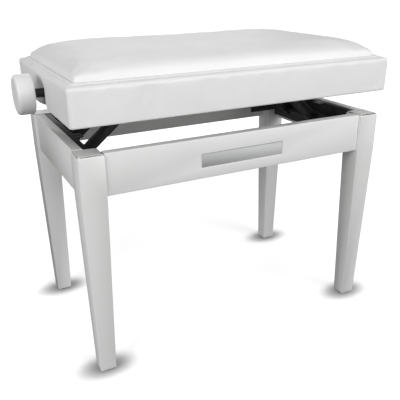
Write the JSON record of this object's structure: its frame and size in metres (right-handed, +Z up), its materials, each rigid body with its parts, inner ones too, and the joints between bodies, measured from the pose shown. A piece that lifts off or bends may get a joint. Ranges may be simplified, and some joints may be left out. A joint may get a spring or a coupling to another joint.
{
  "type": "piano bench",
  "caption": "Height-adjustable bench with a white padded seat on a steel lift, turned by side knobs, and a white lacquered frame on tapered legs.",
  "frame": {"origin": "on the floor, under the middle of the bench", "axes": "+X along the bench to its right end, +Y from the front with the plate to the back, +Z up"},
  "size_m": [0.628, 0.33, 0.493],
  "materials": {
    "white_lacquer": "white satin lacquer",
    "white_leather": "white synthetic leather, fine grain",
    "white_plastic": "moulded, half gloss",
    "black_steel": "black powder coat",
    "zinc_steel": "zinc plated",
    "plywood": "bare plywood",
    "felt": "pressed felt",
    "plate": "satin, plain"
  },
  "bodies": {
    "frame": {"leg_front_left": "white_lacquer", "leg_back_left": "white_lacquer", "leg_front_right": "white_lacquer", "leg_back_right": "white_lacquer", "glide_front_left": "felt", "glide_back_left": "felt", "glide_front_right": "felt", "glide_back_right": "felt", "apron_front": "white_lacquer", "apron_back": "white_lacquer", "apron_left": "white_lacquer", "apron_right": "white_lacquer", "name_plate": "plate", "base_bracket_left": "black_steel", "base_bracket_right": "black_steel", "lower_pivot_rod_left": "zinc_steel", "lower_pivot_rod_right": "zinc_steel", "leg_bolt_front_left": "zinc_steel", "leg_bolt_back_left": "zinc_steel", "leg_bolt_front_right": "zinc_steel", "leg_bolt_back_right": "zinc_steel", "apron_screw_front_left": "zinc_steel", "apron_screw_back_left": "zinc_steel", "apron_screw_front_right": "zinc_steel", "apron_screw_back_right": "zinc_steel"},
    "arm_left": {"lift_arm_front_left": "black_steel", "lift_arm_back_left": "black_steel", "middle_pin_front_left": "zinc_steel", "middle_pin_back_left": "zinc_steel"},
    "arm_right": {"lift_arm_front_right": "black_steel", "lift_arm_back_right": "black_steel", "middle_pin_front_right": "zinc_steel", "middle_pin_back_right": "zinc_steel"},
    "link_left": {"lift_link_front_left": "black_steel", "lift_link_back_left": "black_steel"},
    "link_right": {"lift_link_front_right": "black_steel", "lift_link_back_right": "black_steel"},
    "nut_left": {"cross_nut_left": "zinc_steel"},
    "nut_right": {"cross_nut_right": "zinc_steel"},
    "seat": {"seat_pin_front_left": "zinc_steel", "seat_pin_back_left": "zinc_steel", "seat_pin_front_right": "zinc_steel", "seat_pin_back_right": "zinc_steel", "seat_bracket_left": "black_steel", "seat_bracket_right": "black_steel", "screw_bush_left": "black_steel", "screw_bush_right": "black_steel", "seat_board": "plywood", "seat_rail_front": "plywood", "seat_rail_back": "plywood", "seat_rail_left": "plywood", "seat_rail_right": "plywood", "skirt_front": "white_leather", "skirt_back": "white_leather", "skirt_left": "white_leather", "skirt_right": "white_leather", "cushion_pad": "white_leather"},
    "screw": {"lead_screw": "zinc_steel", "knob_left": "white_plastic", "knob_right": "white_plastic"}
  },
  "joints": [
    {"name": "seat_lift", "type": "hinge", "parent": "frame", "child": "arm_left", "pos_m": [-0.224, 0, 0.338], "axis": [0, -1, 0], "range_deg": [-18, 25]},
    {"name": "link_left_pivot", "type": "hinge", "parent": "arm_left", "child": "link_left", "pos_m": [-0.17038, 0, 0.383], "axis": [0, 1, 0], "range_deg": [-36.4, 50.4]},
    {"name": "seat_left_pivot", "type": "hinge", "parent": "link_left", "child": "seat", "pos_m": [-0.224, 0, 0.428], "axis": [0, -1, 0], "range_deg": [-18.2, 25.2]},
    {"name": "nut_left_trunnion", "type": "hinge", "parent": "arm_left", "child": "nut_left", "pos_m": [-0.11676, 0, 0.428], "axis": [0, 1, 0], "range_deg": [-18.2, 25.2]},
    {"name": "arm_right_pivot", "type": "hinge", "parent": "frame", "child": "arm_right", "pos_m": [0.224, 0, 0.338], "axis": [0, 1, 0], "range_deg": [-18.2, 25.2]},
    {"name": "link_right_pivot", "type": "hinge", "parent": "arm_right", "child": "link_right", "pos_m": [0.17038, 0, 0.383], "axis": [0, -1, 0], "range_deg": [-36.4, 50.4]},
    {"name": "nut_right_trunnion", "type": "hinge", "parent": "arm_right", "child": "nut_right", "pos_m": [0.11676, 0, 0.428], "axis": [0, -1, 0], "range_deg": [-18.2, 25.2]},
    {"name": "screw_turn", "type": "hinge", "parent": "seat", "child": "screw", "pos_m": [0, 0, 0.428], "axis": [1, 0, 0], "range_deg": [-1298, 1802]}
  ],
  "couplings": [
    {"joint": "link_left_pivot", "follows": "seat_lift", "ratio": 2},
    {"joint": "seat_left_pivot", "follows": "seat_lift", "ratio": 1},
    {"joint": "nut_left_trunnion", "follows": "seat_lift", "ratio": 1},
    {"joint": "arm_right_pivot", "follows": "seat_lift", "ratio": 1},
    {"joint": "link_right_pivot", "follows": "seat_lift", "ratio": 2},
    {"joint": "nut_right_trunnion", "follows": "seat_lift", "ratio": 1},
    {"joint": "screw_turn", "follows": "seat_lift", "ratio": 72}
  ]
}
